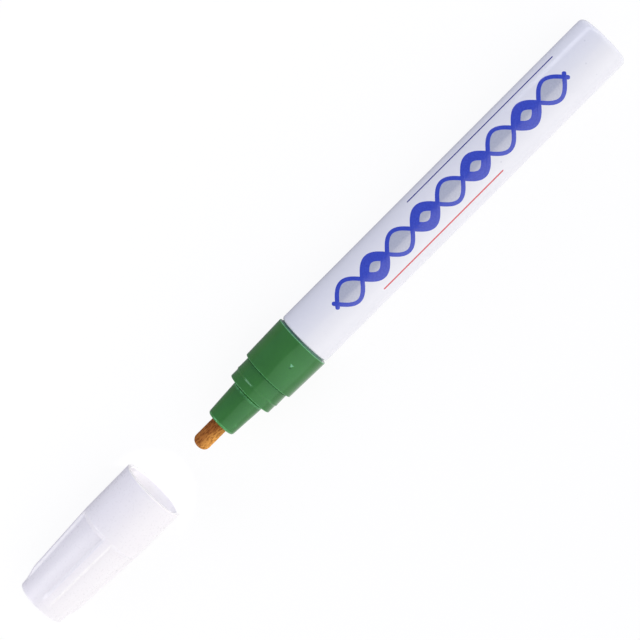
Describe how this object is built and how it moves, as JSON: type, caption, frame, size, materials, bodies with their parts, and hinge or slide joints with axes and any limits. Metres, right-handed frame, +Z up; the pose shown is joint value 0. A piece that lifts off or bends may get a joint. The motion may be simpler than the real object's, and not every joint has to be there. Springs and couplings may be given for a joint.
{
  "type": "paint marker",
  "caption": "Uncapped paint marker lying flat: painted metal barrel, stepped plastic collar and snout, bullet fibre nib on a spring valve, and a ribbed pull-off cap in line.",
  "frame": {"origin": "on the table, under the middle of the marker and its cap", "axes": "+X along the marker's axis from the nib to the closed end of the barrel, +Z up"},
  "size_m": [0.1882, 0.017, 0.017],
  "materials": {
    "barrel_enamel": "gloss",
    "green_plastic": "satin",
    "nib_fibre": "matte",
    "white_plastic": "satin",
    "natural_plastic": "matte",
    "black_rubber": "matte",
    "spring_steel": "satin",
    "ball_steel": "polished"
  },
  "bodies": {
    "marker": {"barrel": "barrel_enamel", "front_collar": "green_plastic", "collar_gasket": "black_rubber", "nib_holder": "green_plastic", "valve_body": "natural_plastic", "valve_spring": "spring_steel", "spring_cage": "natural_plastic"},
    "nib_train": {"nib": "nib_fibre", "valve_stem": "natural_plastic", "valve_seal": "black_rubber"},
    "ball": {"mixing_ball": "ball_steel"},
    "cap": {"cap_shell": "white_plastic", "cap_inner_sleeve": "natural_plastic"}
  },
  "joints": [
    {"name": "cap_slide", "type": "slide", "parent": "marker", "child": "cap", "axis": [1, 0, 0], "range_m": [0, 0.0498]},
    {"name": "nib_press", "type": "slide", "parent": "marker", "child": "nib_train", "axis": [1, 0, 0], "range_m": [0, 0.002], "stiffness_N_per_m": 200, "springref_m": -0.004, "deforming": ["valve_spring"]},
    {"name": "ball_roll", "type": "slide", "parent": "marker", "child": "ball", "axis": [1, 0, 0], "range_m": [-0.0732, 0]}
  ]
}
